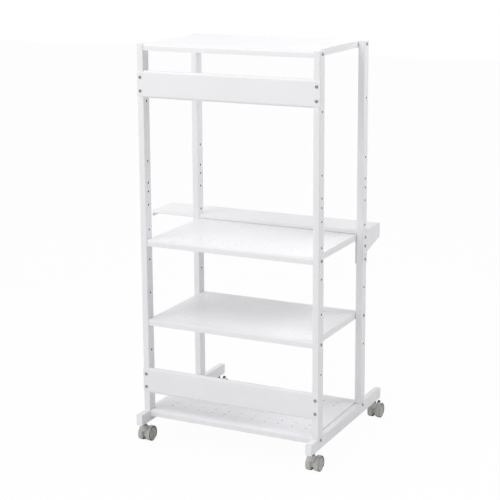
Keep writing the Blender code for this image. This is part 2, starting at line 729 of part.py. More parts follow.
def build():
    for side in SIDES:
        make_foot_rail(side)
        for end in ENDS:
            make_upright(side, end)
            make_rail_cap(side, end)
            make_stem(side, end)
            make_hood(side, end)
            make_wheel(side, end, "a")
            make_wheel(side, end, "b")
    for name in SHELF_SCREW_HEIGHTS:
        make_shelf(name)
        make_shelf_screws(name)
    for name in PANEL_CENTRES:
        make_panel(name)
        make_panel_screws(name)
    make_rear_tray()
    make_right_bracket()
    make_backing_plate()
    make_left_bracket()


clear_scene()
NODES = collection("rolling_rack", False)
HELPERS = collection("helpers", True)
build()
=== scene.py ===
import math

import bmesh
import bpy
from mathutils import Matrix, Vector


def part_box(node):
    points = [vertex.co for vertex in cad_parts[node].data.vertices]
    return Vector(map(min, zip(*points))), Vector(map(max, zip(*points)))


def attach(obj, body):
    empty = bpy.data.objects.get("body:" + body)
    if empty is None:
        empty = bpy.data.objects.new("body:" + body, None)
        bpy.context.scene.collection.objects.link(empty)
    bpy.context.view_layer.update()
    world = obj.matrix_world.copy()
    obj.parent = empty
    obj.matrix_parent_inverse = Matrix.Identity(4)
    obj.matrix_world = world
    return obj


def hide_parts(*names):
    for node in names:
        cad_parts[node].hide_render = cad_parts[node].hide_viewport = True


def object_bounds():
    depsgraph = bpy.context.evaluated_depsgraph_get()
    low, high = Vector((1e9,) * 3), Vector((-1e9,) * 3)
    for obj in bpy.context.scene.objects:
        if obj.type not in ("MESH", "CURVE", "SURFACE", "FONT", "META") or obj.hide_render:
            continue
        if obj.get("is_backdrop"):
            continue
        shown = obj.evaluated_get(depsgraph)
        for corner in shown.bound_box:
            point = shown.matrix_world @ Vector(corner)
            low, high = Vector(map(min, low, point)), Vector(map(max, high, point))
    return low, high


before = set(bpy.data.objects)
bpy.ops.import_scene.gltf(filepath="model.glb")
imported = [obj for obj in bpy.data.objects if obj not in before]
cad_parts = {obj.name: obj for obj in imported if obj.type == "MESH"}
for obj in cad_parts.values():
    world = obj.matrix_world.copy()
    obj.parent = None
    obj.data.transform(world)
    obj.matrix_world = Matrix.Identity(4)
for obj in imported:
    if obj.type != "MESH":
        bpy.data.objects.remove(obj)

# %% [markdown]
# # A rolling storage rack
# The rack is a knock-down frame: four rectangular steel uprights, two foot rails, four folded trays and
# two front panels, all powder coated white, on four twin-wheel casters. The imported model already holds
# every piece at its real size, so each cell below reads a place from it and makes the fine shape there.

MM = 0.001
cad_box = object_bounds()
SHEET = 1.2 * MM
TUBE_WALL = 1.5 * MM
COAT_EDGE = 0.35 * MM
GAP = 0.3 * MM
WELD = 0.01 * MM
SHEET_SHARP = 60
TURNED_SHARP = 50
print("whole rack, mm:", [round(side / MM) for side in cad_box[1] - cad_box[0]])

# %% [markdown]
# ## Colours
# A colour picked on screen is an sRGB value, and a shader wants linear light. One function turns one into
# the other, so every colour below can be written the way a paint chart writes it.

# %% Colours from hex
def linear(hex_colour):
    channels = [int(hex_colour[at : at + 2], 16) / 255 for at in (0, 2, 4)]
    return [c / 12.92 if c <= 0.04045 else ((c + 0.055) / 1.055) ** 2.4 for c in channels] + [1.0]


print("mid grey:", [round(c, 3) for c in linear("808080")])


# %% [markdown]
# ## A helper for shader nodes
# Each material is a small tree: a position goes into a noise, the noise into a ramp, the ramp into the
# shader. One function adds a node, sets its values and makes its links, which keeps each recipe short.

# %% The node helper
def add_node(tree, kind, settings=(), **inputs):
    """Adds a node. settings are its own properties, and each input is a value or an output to link."""
    made = tree.nodes.new(kind)
    for name, value in dict(settings).items():
        setattr(made, name, value)
    for name, value in inputs.items():
        socket = made.inputs[int(name[1:])] if name[1:].isdigit() else made.inputs[name.replace("_", " ")]
        if isinstance(value, bpy.types.NodeSocket):
            tree.links.new(value, socket)
        else:
            socket.default_value = value
    return made


def start_material(name, roughness, metallic=0.0):
    made = bpy.data.materials.new(name)
    made.use_nodes = True
    shader = made.node_tree.nodes["Principled BSDF"]
    shader.inputs["Roughness"].default_value = roughness
    shader.inputs["Metallic"].default_value = metallic
    return made, made.node_tree, shader


def noise_mm(tree, position, size, detail=2.0, roughness=0.5):
    """A noise whose lumps are about size millimetres across."""
    return add_node(
        tree,
        "ShaderNodeTexNoise",
        Vector=position,
        Scale=1 / (size * MM),
        Detail=detail,
        Roughness=roughness,
    ).outputs["Fac"]


def spread(tree, factor, low, high):
    """Stretches the middle of a noise to run from low to high."""
    return add_node(
        tree,
        "ShaderNodeMapRange",
        Value=factor,
        From_Min=0.3,
        From_Max=0.7,
        To_Min=low,
        To_Max=high,
    ).outputs["Result"]


def mix_colours(tree, factor, first, second):
    return add_node(
        tree, "ShaderNodeMix", {"data_type": "RGBA"}, _0=factor, _6=first, _7=second
    ).outputs[2]


def bump_mm(tree, height, depth, strength=1.0, normal=None):
    """Raises the surface by depth millimetres where height is 1."""
    made = add_node(tree, "ShaderNodeBump", Height=height, Distance=depth * MM, Strength=strength)
    if normal:
        tree.links.new(normal, made.inputs["Normal"])
    return made.outputs["Normal"]


# %% [markdown]
# ## White polyester powder coat
# The steel is sprayed with dry powder and baked, so the coat flows into a satin skin with a faint orange
# peel, about 3 mm from hump to hump. It is a dielectric: no metal in it, an index of refraction of 1.5,
# and a roughness near 0.4. The film pools and thins by a few microns, which shifts the gloss slowly along
# a face, and handling leaves soft, slightly duller patches a hand wide.

# %% Powder coat
def powder_coat(name, white, shade):
    made, tree, shader = start_material(name, 0.4)
    position = add_node(tree, "ShaderNodeTexCoord").outputs["Object"]
    film = noise_mm(tree, position, 90, detail=3.0)
    handling = noise_mm(tree, position, 260, detail=4.0, roughness=0.6)
    tint = mix_colours(tree, spread(tree, handling, 0.0, 1.0), linear(white), linear(shade))
    tree.links.new(tint, shader.inputs["Base Color"])
    tree.links.new(spread(tree, film, 0.36, 0.46), shader.inputs["Roughness"])
    peel = noise_mm(tree, position, 3.0, detail=2.0)
    grain = noise_mm(tree, position, 0.7, detail=1.0)
    waves = bump_mm(tree, peel, 0.035)
    tree.links.new(bump_mm(tree, grain, 0.006, normal=waves), shader.inputs["Normal"])
    shader.inputs["IOR"].default_value = 1.5
    return made


coat = powder_coat("white_polyester_powder_coat", "F6F6F8", "F2F2F5")
print("material:", coat.name)

# %% [markdown]
# ## Polyethylene for the tube caps
# The caps are injection moulded in a soft white plastic. It is a little bluer than the paint, and the
# mould was lightly spark textured, so it shines softly.

# %% Cap plastic
def moulded_plastic(name, colour, other, roughness, grain_mm, depth_mm):
    made, tree, shader = start_material(name, roughness)
    position = add_node(tree, "ShaderNodeTexCoord").outputs["Object"]
    flow = noise_mm(tree, position, 14, detail=3.0, roughness=0.6)
    tint = mix_colours(tree, spread(tree, flow, 0.0, 1.0), linear(colour), linear(other))
    tree.links.new(tint, shader.inputs["Base Color"])
    gloss = spread(tree, flow, roughness - 0.06, roughness + 0.06)
    tree.links.new(gloss, shader.inputs["Roughness"])
    spark = noise_mm(tree, position, grain_mm, detail=2.0)
    tree.links.new(bump_mm(tree, spark, depth_mm), shader.inputs["Normal"])
    shader.inputs["IOR"].default_value = 1.51
    return made


cap_plastic = moulded_plastic("moulded_polyethylene", "F7F9FB", "F2F5F8", 0.48, 0.8, 0.01)
print("material:", cap_plastic.name)

# %% [markdown]
# ## Nylon and tread
# Caster bodies and wheel discs are warm grey nylon, moulded with a fine matt texture. The treads
# are a darker, harder polyurethane band, which picks up floor dust and is therefore duller and patchier.

# %% Caster plastics
hood_nylon = moulded_plastic("warm_grey_moulded_nylon", "C3C2BE", "B8B7B2", 0.46, 0.9, 0.015)
disc_nylon = moulded_plastic("warm_grey_wheel_disc_nylon", "C4C3C0", "BAB9B5", 0.42, 0.9, 0.012)
tread_rubber = moulded_plastic("dark_polyurethane_tread", "35342F", "454340", 0.62, 1.2, 0.03)
print("materials:", hood_nylon.name, disc_nylon.name, tread_rubber.name)

# %% [markdown]
# ## Zinc plate
# Screws and stems are bright zinc plated steel: a metal, so its colour is its reflection. The plate
# has a cool cast and fine scratches from tumbling in the barrel, which spread the highlight unevenly.

# %% Zinc
def zinc_plate(name, colour, roughness):
    made, tree, shader = start_material(name, roughness, metallic=1.0)
    position = add_node(tree, "ShaderNodeTexCoord").outputs["Object"]
    tumble = noise_mm(tree, position, 1.6, detail=5.0, roughness=0.7)
    tint = mix_colours(tree, spread(tree, tumble, 0.0, 1.0), linear(colour), linear("8F979C"))
    tree.links.new(tint, shader.inputs["Base Color"])
    tree.links.new(spread(tree, tumble, roughness - 0.08, roughness + 0.1), shader.inputs["Roughness"])
    tree.links.new(bump_mm(tree, tumble, 0.01), shader.inputs["Normal"])
    return made


zinc = zinc_plate("bright_zinc_plate", "B4BABE", 0.34)
# Painted shade: the stems' zinc is darker and rougher, to stand for the shadow they sit in under the
# rails.
stem_zinc_painted_shade = zinc_plate("zinc_plate_darkened_as_painted_shade", "84888B", 0.45)
print("material:", zinc.name)

# %% [markdown]
# ## Bare steel inside the tubes
# Powder doesn't reach the inside of a tube, so there the steel keeps its dark mill scale. It is an oxide
# rather than bright metal, brownish grey and nearly matt, and the screw holes look almost black.

# %% Mill scale
def mill_scale(name):
    made, tree, shader = start_material(name, 0.7)
    position = add_node(tree, "ShaderNodeTexCoord").outputs["Object"]
    blotches = noise_mm(tree, position, 12, detail=4.0, roughness=0.6)
    tint = mix_colours(tree, spread(tree, blotches, 0.0, 1.0), linear("161615"), linear("201F1D"))
    tree.links.new(tint, shader.inputs["Base Color"])
    tree.links.new(spread(tree, blotches, 0.6, 0.8), shader.inputs["Roughness"])
    return made


# The same dark material is also used as painted shade on the bottom shelf's hole walls and cut edges.
bare_steel_and_painted_shade = mill_scale("mill_scale_and_painted_shade")
print("material:", bare_steel_and_painted_shade.name)

# %% [markdown]
# ## Turning a bmesh into a piece
# Every piece is finished the same way. Its normals are made to point out, thin steel gets its wall from
# Solidify, a small Bevel gives the edges the roundness that catches light, and Weighted Normal
# keeps the flats flat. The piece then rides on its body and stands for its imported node.

# %% The piece helper
def finish_piece(
    name, bm, material, body, stands_for, wall=0.0, edge=0.0, sharp=40, lining=None, rim=None
):
    bmesh.ops.recalc_face_normals(bm, faces=bm.faces)
    mesh = bpy.data.meshes.new(name)
    bm.to_mesh(mesh)
    bm.free()
    mesh.shade_smooth()
    mesh.materials.append(material)
    if lining or rim:
        mesh.materials.append(lining or rim)
    piece = bpy.data.objects.new(name, mesh)
    bpy.context.scene.collection.objects.link(piece)
    if wall:
        solid = piece.modifiers.new("wall", "SOLIDIFY")
        solid.thickness = wall
        solid.offset = -1
        solid.use_even_offset = True
        solid.material_offset = 1 if lining else 0
        solid.material_offset_rim = 1 if lining or rim else 0
    if edge:
        bevel = piece.modifiers.new("edge", "BEVEL")
        bevel.width = edge
        bevel.segments = 2
        bevel.limit_method = "ANGLE"
        bevel.angle_limit = math.radians(sharp)
        weighted = piece.modifiers.new("flats", "WEIGHTED_NORMAL")
        weighted.keep_sharp = True
    else:
        mesh.set_sharp_from_angle(angle=math.radians(sharp))
    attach(piece, body)
    if stands_for:
        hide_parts(*stands_for)
    return piece


def box_bm(low, high):
    """A bmesh box between two corners."""
    bm = bmesh.new()
    low = Vector(low)
    size = Vector(high) - low
    place = Matrix.Translation(low + size / 2) @ Matrix.Diagonal((*size, 1.0))
    bmesh.ops.create_cube(bm, size=1.0, matrix=place)
    return bm


def round_edges(bm, radius, segments, keep):
    """Rounds the edges whose direction and middle pass keep(direction, middle)."""
    edges = []
    for edge in bm.edges:
        run = (edge.verts[1].co - edge.verts[0].co).normalized()
        middle = (edge.verts[0].co + edge.verts[1].co) / 2
        if keep(run, middle):
            edges.append(edge)
    bmesh.ops.bevel(
        bm, geom=edges, offset=radius, segments=segments, affect="EDGES", profile=0.5, material=-1
    )


def open_side(bm, axis, sign):
    """Takes away the faces that look along one axis."""
    faces = [face for face in bm.faces if face.normal[axis] * sign > 0.999]
    bmesh.ops.delete(bm, geom=faces, context="FACES")


def cut(bm, axis, at):
    """Scores every face where a plane across one axis meets it."""
    point, normal = Vector((0, 0, 0)), Vector((0, 0, 0))
    point[axis], normal[axis] = at, 1.0
    geometry = bm.verts[:] + bm.edges[:] + bm.faces[:]
    bmesh.ops.bisect_plane(bm, geom=geometry, dist=WELD, plane_co=point, plane_no=normal)


# %% [markdown]
# ## Punched holes
# A punch press makes the holes before the sheet is folded. Here a face is first scored into a small
# square cell round each hole. The cell's sides are split in four, the cell is inset, and the inner ring
# is moved onto a circle and opened. Solidify then gives the hole its wall.

# %% The punch
CELL = 5 * MM


def score_cells(bm, axis, places):
    for place in places:
        cut(bm, axis, place - CELL)
        cut(bm, axis, place + CELL)


def punch(bm, centre, axis, radius):
    """Opens a round hole in the scored cell that faces along axis at centre."""
    centre = Vector(centre)
    facing = [face for face in bm.faces if abs(face.normal[axis]) > 0.99]
    cell = min(facing, key=lambda face: (face.calc_center_median() - centre).length)
    for edge in list(cell.edges):
        start = edge.verts[0]
        for share in (4, 3, 2):
            start = bmesh.utils.edge_split(edge, start, 1 / share)[1]
    bmesh.ops.inset_individual(bm, faces=[cell], thickness=CELL / 8)
    middle = cell.calc_center_median()
    for vert in cell.verts:
        vert.co = middle + (vert.co - middle).normalized() * radius
    bmesh.ops.delete(bm, geom=[cell], context="FACES_ONLY")


# %% [markdown]
# ## Uprights
# Each upright is a rectangular tube, 23 by 38 mm, closed at the top and welded to the foot rail below. A
# box without its underside gets rounded corners, then adjustment holes through both side walls.

# %% Uprights
HOLE_HEIGHTS = [320, 521, 636, 739, 823, 868, 898, 971, 1171]
HOLE_RADIUS = 3.6 * MM
CORNER = 3 * MM
TOP_CORNER = 1.2 * MM
INTO_RAIL = 0.4 * MM


def make_upright(node):
    low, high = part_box(node)
    low.z -= INTO_RAIL
    bm = box_bm(low, high)
    round_edges(bm, CORNER, 5, lambda run, middle: abs(run.z) > 0.9)
    round_edges(bm, TOP_CORNER, 3, lambda run, middle: abs(run.z) < 0.9 and middle.z > high.z - MM)
    open_side(bm, 2, -1)
    middle_y = (low.y + high.y) / 2
    score_cells(bm, 1, [middle_y])
    heights = [height * MM for height in HOLE_HEIGHTS]
    score_cells(bm, 2, heights)
    for z in heights:
        for x in (low.x, high.x):
            punch(bm, (x, middle_y, z), 0, HOLE_RADIUS)
    name = f"{node}_tube"
    return finish_piece(
        name, bm, coat, "frame", [node], TUBE_WALL, COAT_EDGE, SHEET_SHARP, bare_steel_and_painted_shade
    )


for end in ("front", "rear"):
    for side in ("left", "right"):
        tube = make_upright(f"upright_{end}_{side}")
        print(tube.name, len(tube.data.polygons), "faces")

# %% [markdown]
# ## Foot rails
# The feet are the same tube laid on its narrow side and left open at both ends for the caps.

# %% Foot rails
def make_rail(node):
    low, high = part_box(node)
    bm = box_bm(low, high)
    round_edges(bm, CORNER, 5, lambda run, middle: abs(run.y) > 0.9)
    open_side(bm, 1, -1)
    open_side(bm, 1, 1)
    name = f"{node}_tube"
    return finish_piece(
        name, bm, coat, "frame", [node], TUBE_WALL, COAT_EDGE, SHEET_SHARP, bare_steel_and_painted_shade
    )


for side in ("left", "right"):
    print(make_rail(f"foot_rail_{side}").name)

# %% [markdown]
# ## Tube caps
# A cap is a plug with a flat head as large as the tube. The head's corners follow the tube, its outer rim
# is eased, and a shallow step shows where the mould's insert met the face.

# %% Tube caps
CAP_PLATE = 3 * MM
CAP_RIM = 1 * MM
CAP_STEP = 0.6 * MM
CAP_EDGE = 0.3 * MM


def make_cap(node, outward):
    low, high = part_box(node)
    near = high.y - CAP_PLATE if outward > 0 else low.y + CAP_PLATE
    front, back = sorted((near, high.y if outward > 0 else low.y))
    bm = box_bm((low.x, front, low.z), (high.x, back, high.z))
    round_edges(bm, CORNER, 5, lambda run, middle: abs(run.y) > 0.9)
    face = max(bm.faces, key=lambda face: face.normal.y * outward)
    rim = bmesh.ops.inset_individual(bm, faces=[face], thickness=CAP_RIM)["faces"]
    bmesh.ops.translate(bm, vec=(0, outward * CAP_STEP, 0), verts=face.verts)
    print(node, "rim faces", len(rim))
    return finish_piece(f"{node}_head", bm, cap_plastic, "frame", [node], 0, CAP_EDGE)


for side in ("left", "right"):
    make_cap(f"rail_cap_front_{side}", -1)
    make_cap(f"rail_cap_rear_{side}", 1)

# %% [markdown]
# ## Shelves
# A shelf is one sheet folded down on all four sides. Its front and back are rolled over a large
# radius and its ends are folded sharp, to sit flat on the uprights. Three of the four have two rows
# of round holes along the front and along the back. The bottom one fits tightly between the foot rails,
# and the walls of its holes and the cut edges of its folds get the dark bare-steel material: painted
# shade, because it lies close to the floor and little light comes up through them.

# %% Shelves
NOSE = 10 * MM
END_FOLD = 1.5 * MM
TIGHT_FOLD = 0.5 * MM
TIGHT_FIT = 0.2 * MM
PERF_RADIUS = 3.5 * MM
PERF_ROWS = [66 * MM, 97 * MM]
PERF_PITCH = 50 * MM
PERF_COLUMNS = 11


def make_shelf(node, perforated):
    low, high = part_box(node)
    between_rails = node == "shelf_bottom"
    if between_rails:
        low.x -= TIGHT_FIT
        high.x += TIGHT_FIT
    fold = TIGHT_FOLD if between_rails else END_FOLD
    bm = box_bm(low, high)
    top = high.z
    round_edges(bm, NOSE, 8, lambda run, middle: abs(run.x) > 0.9 and middle.z > top - MM)
    round_edges(bm, fold, 3, lambda run, middle: abs(run.y) > 0.9 and middle.z > top - MM)
    open_side(bm, 2, -1)
    if perforated:
        rows = [low.y + row for row in PERF_ROWS] + [high.y - row for row in PERF_ROWS]
        centre = (low.x + high.x) / 2
        columns = [centre + (n - (PERF_COLUMNS - 1) / 2) * PERF_PITCH for n in range(PERF_COLUMNS)]
        score_cells(bm, 1, rows)
        score_cells(bm, 0, columns)
        for y in rows:
            for x in columns:
                punch(bm, (x, y, top), 2, PERF_RADIUS)
    # Painted shade: the bottom shelf's hole walls and cut edges take the dark bare-steel material.
    rim = bare_steel_and_painted_shade if between_rails else None
    return finish_piece(
        f"{node}_tray", bm, coat, "frame", [node], SHEET, COAT_EDGE, SHEET_SHARP, rim=rim
    )


for node, perforated in (
    ("shelf_bottom", True),
    ("shelf_lower", True),
    ("shelf_upper", True),
    ("shelf_top", False),
):
    tray = make_shelf(node, perforated)
    print(tray.name, len(tray.data.polygons), "faces")

# %% [markdown]
# ## Front panels
# A front panel is a wide strip across both front uprights. Its long edges are rolled back and run between
# the uprights, and at each end the folds are cut away so that the flat face lies on the tube.

# %% Front panels
PANEL_NOSE = 9 * MM
PANEL_SHEET = 0.8 * MM


def make_panel(node):
    low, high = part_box(node)
    post_low, post_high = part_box("upright_front_left")
    tube = post_high.x - post_low.x + GAP
    bm = box_bm(low, high)
    round_edges(bm, PANEL_NOSE, 8, lambda run, middle: abs(run.x) > 0.9 and middle.y < low.y + MM)
    open_side(bm, 1, 1)
    open_side(bm, 0, -1)
    open_side(bm, 0, 1)
    tab_back = low.y + SHEET
    cut(bm, 0, low.x + tube)
    cut(bm, 0, high.x - tube)
    cut(bm, 1, tab_back)
    folds = []
    for face in bm.faces:
        middle = face.calc_center_median()
        at_end = middle.x < low.x + tube or middle.x > high.x - tube
        if at_end and middle.y > tab_back:
            folds.append(face)
    bmesh.ops.delete(bm, geom=folds, context="FACES")
    return finish_piece(
        f"{node}_strip", bm, coat, "frame", [node], PANEL_SHEET, COAT_EDGE, SHEET_SHARP
    )


for node in ("front_panel_lower", "front_panel_upper"):
    print(make_panel(node).name)

# %% [markdown]
# ## Rear tray
# The rear tray is folded like a shelf, with a tight fold at the back and a rolled one in front. It is
# notched round the rear uprights, its front lip is half as deep as the others, and it reaches out past
# the left side of the frame.

# %% Rear tray
TRAY_NOSE = 9 * MM
TRAY_FOLD = 2 * MM
TRAY_LIP = 11 * MM


def make_rear_tray(node):
    low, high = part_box(node)
    bm = box_bm(low, high)
    top = high.z

    def along_top(run, middle):
        return abs(run.x) > 0.9 and middle.z > top - MM

    round_edges(bm, TRAY_NOSE, 8, lambda run, middle: along_top(run, middle) and middle.y < low.y + MM)
    round_edges(bm, TRAY_FOLD, 4, lambda run, middle: along_top(run, middle) and middle.y > high.y - MM)
    open_side(bm, 2, -1)
    lip = top - TRAY_LIP
    cut(bm, 2, lip)
    notches = []
    for side in ("left", "right"):
        start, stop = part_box(f"upright_rear_{side}")
        notches.append((start.x - GAP, stop.x + GAP))
        for edge in notches[-1]:
            cut(bm, 0, edge)
    notch_back = stop.y + GAP
    cut(bm, 1, notch_back)
    gone = []
    for face in bm.faces:
        middle = face.calc_center_median()
        low_front = face.normal.y < -0.9 and middle.z < lip
        notched = middle.y < notch_back and any(left < middle.x < right for left, right in notches)
        if low_front or notched:
            gone.append(face)
    bmesh.ops.delete(bm, geom=gone, context="FACES")
    return finish_piece(
        f"{node}_sheet", bm, coat, "frame", [node], SHEET, COAT_EDGE, SHEET_SHARP
    )


print(make_rear_tray("rear_tray").name)

# %% [markdown]
# ## Tray brackets
# A flat plate on the outside of each rear upright carries the rear tray. It is cut from 2 mm sheet with
# small corner radii, and one spare hole goes right through it.

# %% Brackets
BRACKET_SHEET = 2 * MM
BRACKET_CORNER = 2.5 * MM
ARM_DEPTH = 49 * MM
ARM_ROOT = 76 * MM
SPARE_HOLE = 636 * MM


def outline_bm(corners, x, radius):
    """One flat face at x through the (y, z) corners, each corner rounded."""
    bm = bmesh.new()
    verts = [bm.verts.new((x, y, z)) for y, z in corners]
    bm.faces.new(verts)
    bmesh.ops.bevel(
        bm, geom=verts, offset=radius, segments=4, affect="VERTICES", profile=0.5, material=-1
    )
    return bm


def make_bracket(node, post, name):
    low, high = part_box(node)
    post_low, post_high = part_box(post)
    x = post_high.x + GAP + BRACKET_SHEET if node.endswith("right") else post_low.x - GAP
    corners = [
        (low.y, low.z),
        (post_high.y, low.z),
        (post_high.y, high.z - ARM_ROOT),
        (high.y, high.z - ARM_DEPTH),
        (high.y, high.z),
        (low.y, high.z),
    ]
    bm = outline_bm(corners, x, BRACKET_CORNER)
    middle = (post_low.y + post_high.y) / 2
    score_cells(bm, 1, [middle])
    score_cells(bm, 2, [SPARE_HOLE])
    punch(bm, (x, middle, SPARE_HOLE), 0, HOLE_RADIUS)
    if next(iter(bm.faces)).normal.x < 0:
        bmesh.ops.reverse_faces(bm, faces=bm.faces)
    return finish_piece(
        name, bm, coat, "frame", [node], BRACKET_SHEET, COAT_EDGE, SHEET_SHARP
    )


print(make_bracket("bracket_right", "upright_rear_right", "bracket_right_plate").name)
print(make_bracket("bracket_left", "upright_rear_left", "bracket_left_plate").name)

# %% [markdown]
# ## Clamp plate
# A thick plate inside the right rear upright spreads the load of the bracket's two bolts.

# %% Clamp plate
CLAMP_PLATE = 3 * MM
CLAMP_CORNER = 2 * MM


def make_clamp_plate(node):
    low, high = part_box(node)
    bm = box_bm(low, (low.x + CLAMP_PLATE, high.y, high.z))
    round_edges(bm, CLAMP_CORNER, 3, lambda run, middle: abs(run.x) > 0.9)
    name = f"{node}_plate"
    return finish_piece(name, bm, coat, "frame", [node], 0, COAT_EDGE, SHEET_SHARP)


print(make_clamp_plate("bracket_backing_right").name)

# %% [markdown]
# ## Pan-head screws
# The screws are zinc plated, with low domed heads 11 mm across and a cross recess. The head grows from
# its recess: a plus of five squares is pushed in, a ring round it is bridged out to a circle, and that
# circle is extruded over the dome and down to the seat.

# %% Screw heads
HEAD_RADIUS = 5.5 * MM
HEAD_HEIGHT = 2.4 * MM
HEAD_SEGMENTS = 24
HEAD_RINGS = [0.6, 0.86, 0.97, 1.0]
HEAD_DROPS = [0.06, 0.3, 0.4, 0.24]
CROSS_HALF = 0.55 * MM
CROSS_ARM = 1.7 * MM
CROSS_DEPTH = 1.3 * MM
CROSS_TAPER = 0.6


def ring_out(bm, edges, radius_from, radius_to, drop):
    """Extrudes a ring of edges, widens it and lowers it; returns the new ring."""
    made = bmesh.ops.extrude_edge_only(bm, edges=edges)["geom"]
    verts = [part for part in made if isinstance(part, bmesh.types.BMVert)]
    share = radius_to / radius_from
    bmesh.ops.scale(bm, vec=(share, share, 1), verts=verts)
    bmesh.ops.translate(bm, vec=(0, 0, -drop), verts=verts)
    return [part for part in made if isinstance(part, bmesh.types.BMEdge)]


def screw_head_bm():
    """A head that stands on z = 0 and looks along +Z."""
    bm = bmesh.new()
    bmesh.ops.create_grid(bm, x_segments=1, y_segments=1, size=CROSS_HALF)
    for edge in list(bm.edges):
        out = ((edge.verts[0].co + edge.verts[1].co) / 2).normalized() * CROSS_ARM
        made = bmesh.ops.extrude_edge_only(bm, edges=[edge])["geom"]
        verts = [part for part in made if isinstance(part, bmesh.types.BMVert)]
        bmesh.ops.translate(bm, vec=out, verts=verts)
    bmesh.ops.translate(bm, vec=(0, 0, HEAD_HEIGHT), verts=bm.verts)
    outline = [edge for edge in bm.edges if edge.is_boundary]
    cross = list(bm.faces)
    for edge in list(outline):
        bmesh.utils.edge_split(edge, edge.verts[0], 0.5)
    outline = [edge for edge in bm.edges if edge.is_boundary]
    ring = bmesh.ops.create_circle(
        bm,
        cap_ends=False,
        segments=HEAD_SEGMENTS,
        radius=HEAD_RADIUS * HEAD_RINGS[0],
        matrix=Matrix.Translation((0, 0, HEAD_HEIGHT * (1 - HEAD_DROPS[0]))),
    )["verts"]
    edges = list({edge for vert in ring for edge in vert.link_edges})
    bmesh.ops.bridge_loops(bm, edges=outline + edges)
    for start, stop, drop in zip(HEAD_RINGS, HEAD_RINGS[1:], HEAD_DROPS[1:]):
        edges = ring_out(bm, edges, start, stop, drop * HEAD_HEIGHT)
    bmesh.ops.contextual_create(bm, geom=edges)
    sunk = bmesh.ops.extrude_face_region(bm, geom=cross)["geom"]
    verts = [part for part in sunk if isinstance(part, bmesh.types.BMVert)]
    bmesh.ops.delete(bm, geom=cross, context="FACES_ONLY")
    bmesh.ops.translate(bm, vec=(0, 0, -CROSS_DEPTH), verts=verts)
    bmesh.ops.scale(bm, vec=(CROSS_TAPER, CROSS_TAPER, 1), verts=verts)
    return bm


def place_head(bm, seat, axis, turn):
    """Turns a head round its own axis, points it along axis and stands it on seat."""
    aim = Vector((0, 0, 1)).rotation_difference(Vector(axis)).to_matrix().to_4x4()
    spin = Matrix.Rotation(turn, 4, "Z")
    bmesh.ops.transform(bm, matrix=Matrix.Translation(seat) @ aim @ spin, verts=bm.verts)
    return bm


# %% Screws in their places
TURN_STEP = math.radians(37)
BOLT_HEIGHTS = (620, 666)
screw_nodes = sorted(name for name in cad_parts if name.startswith("screw_"))
for number, node in enumerate(screw_nodes):
    low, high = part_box(node)
    seat = (low + high) / 2
    if node.startswith("screw_panel"):
        axis = (0, -1, 0)
        seat.y = low.y + HEAD_HEIGHT
    elif node.endswith("right"):
        axis = (1, 0, 0)
        seat.x = high.x - HEAD_HEIGHT
    else:
        axis = (-1, 0, 0)
        seat.x = low.x + HEAD_HEIGHT
    head = place_head(screw_head_bm(), seat, axis, number * TURN_STEP)
    finish_piece(f"{node}_head", head, zinc, "frame", [node], 0, 0, TURNED_SHARP)
print(len(screw_nodes), "screw heads")

for height in BOLT_HEIGHTS:
    low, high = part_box("bracket_backing_right")
    seat = Vector((high.x - HEAD_HEIGHT, (low.y + high.y) / 2, height * MM))
    head = place_head(screw_head_bm(), seat, (1, 0, 0), height)
    finish_piece(f"bracket_bolt_{height}_head", head, zinc, "frame", [], 0, 0, TURNED_SHARP)

# %% [markdown]
# ## Caster hoods
# A twin-wheel caster hangs from a stem at its front. Its moulded body has a fender over each wheel, a
# narrower web between them and a round boss for the stem. Each fender is a profile spun part of a turn
# round the axle, the web is a disc cut off level, and the boss is a full spin. The two rear casters
# also have a stopper, a small lever behind the hood.

# %% Where each caster is
HOOD_RADIUS = 28.2 * MM
HOOD_SKIRT = 8 * MM
AXLE_HEIGHT = 25 * MM


def caster_centre(end, side):
    """The middle of the axle: level with the wheels, and under the stem from side to side."""
    low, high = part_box(f"caster_wheel_{end}_{side}_b")
    stem_low, stem_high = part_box(f"caster_stem_{end}_{side}")
    return Vector(((stem_low.x + stem_high.x) / 2, (low.y + high.y) / 2, AXLE_HEIGHT))


def spin_profile(bm, points, centre, axis, angle, steps):
    """Spins a line of points round an axis; a full turn is merged."""
    verts = [bm.verts.new(point) for point in points]
    edges = [bm.edges.new(pair) for pair in zip(verts, verts[1:])]
    full = math.isclose(abs(angle), math.tau)
    bmesh.ops.spin(
        bm, geom=verts + edges, cent=centre, axis=axis, angle=angle, steps=steps, use_merge=full
    )
    bmesh.ops.remove_doubles(bm, verts=bm.verts, dist=WELD)


# %% Fenders
FENDER_PROFILE = [
    (4.0, -9.0),
    (4.5, -5.2),
    (5.8, -2.4),
    (7.8, -0.8),
    (10.5, 0.0),
    (17.5, 0.0),
    (20.2, -0.2),
    (21.8, -0.8),
    (22.5, -1.7),
]
FENDER_WALL = 1.5 * MM
FENDER_EDGE = 0.4 * MM


def make_fenders(end, side):
    axle = caster_centre(end, side)
    dip = math.asin((axle.z - HOOD_SKIRT) / HOOD_RADIUS)
    bm = bmesh.new()
    for sign in (-1, 1):
        start = []
        for along, lift in FENDER_PROFILE:
            radius = HOOD_RADIUS + lift * MM
            down = Vector((0, -radius * math.cos(dip), -radius * math.sin(dip)))
            start.append(axle + Vector((sign * along * MM, 0, 0)) + down)
        spin_profile(bm, start, axle, (1, 0, 0), -(math.pi + 2 * dip), 44)
    return finish_piece(
        f"caster_fenders_{end}_{side}",
        bm,
        hood_nylon,
        f"caster_{end}_{side}",
        [f"caster_hood_{end}_{side}"],
        FENDER_WALL,
        FENDER_EDGE,
        TURNED_SHARP,
    )


# %% Web and boss
WEB_RADIUS = 21.0 * MM
WEB_WIDTH = 8.2 * MM
WEB_FOOT = 19 * MM
WEB_EDGE = 0.6 * MM
BOSS_PROFILE = [
    (0, 38),
    (7.2, 38),
    (8.8, 41),
    (9.4, 46),
    (9.2, 56.6),
    (8.6, 58.3),
    (7.4, 59),
    (5.2, 59),
    (5.2, 50),
    (0, 50),
]


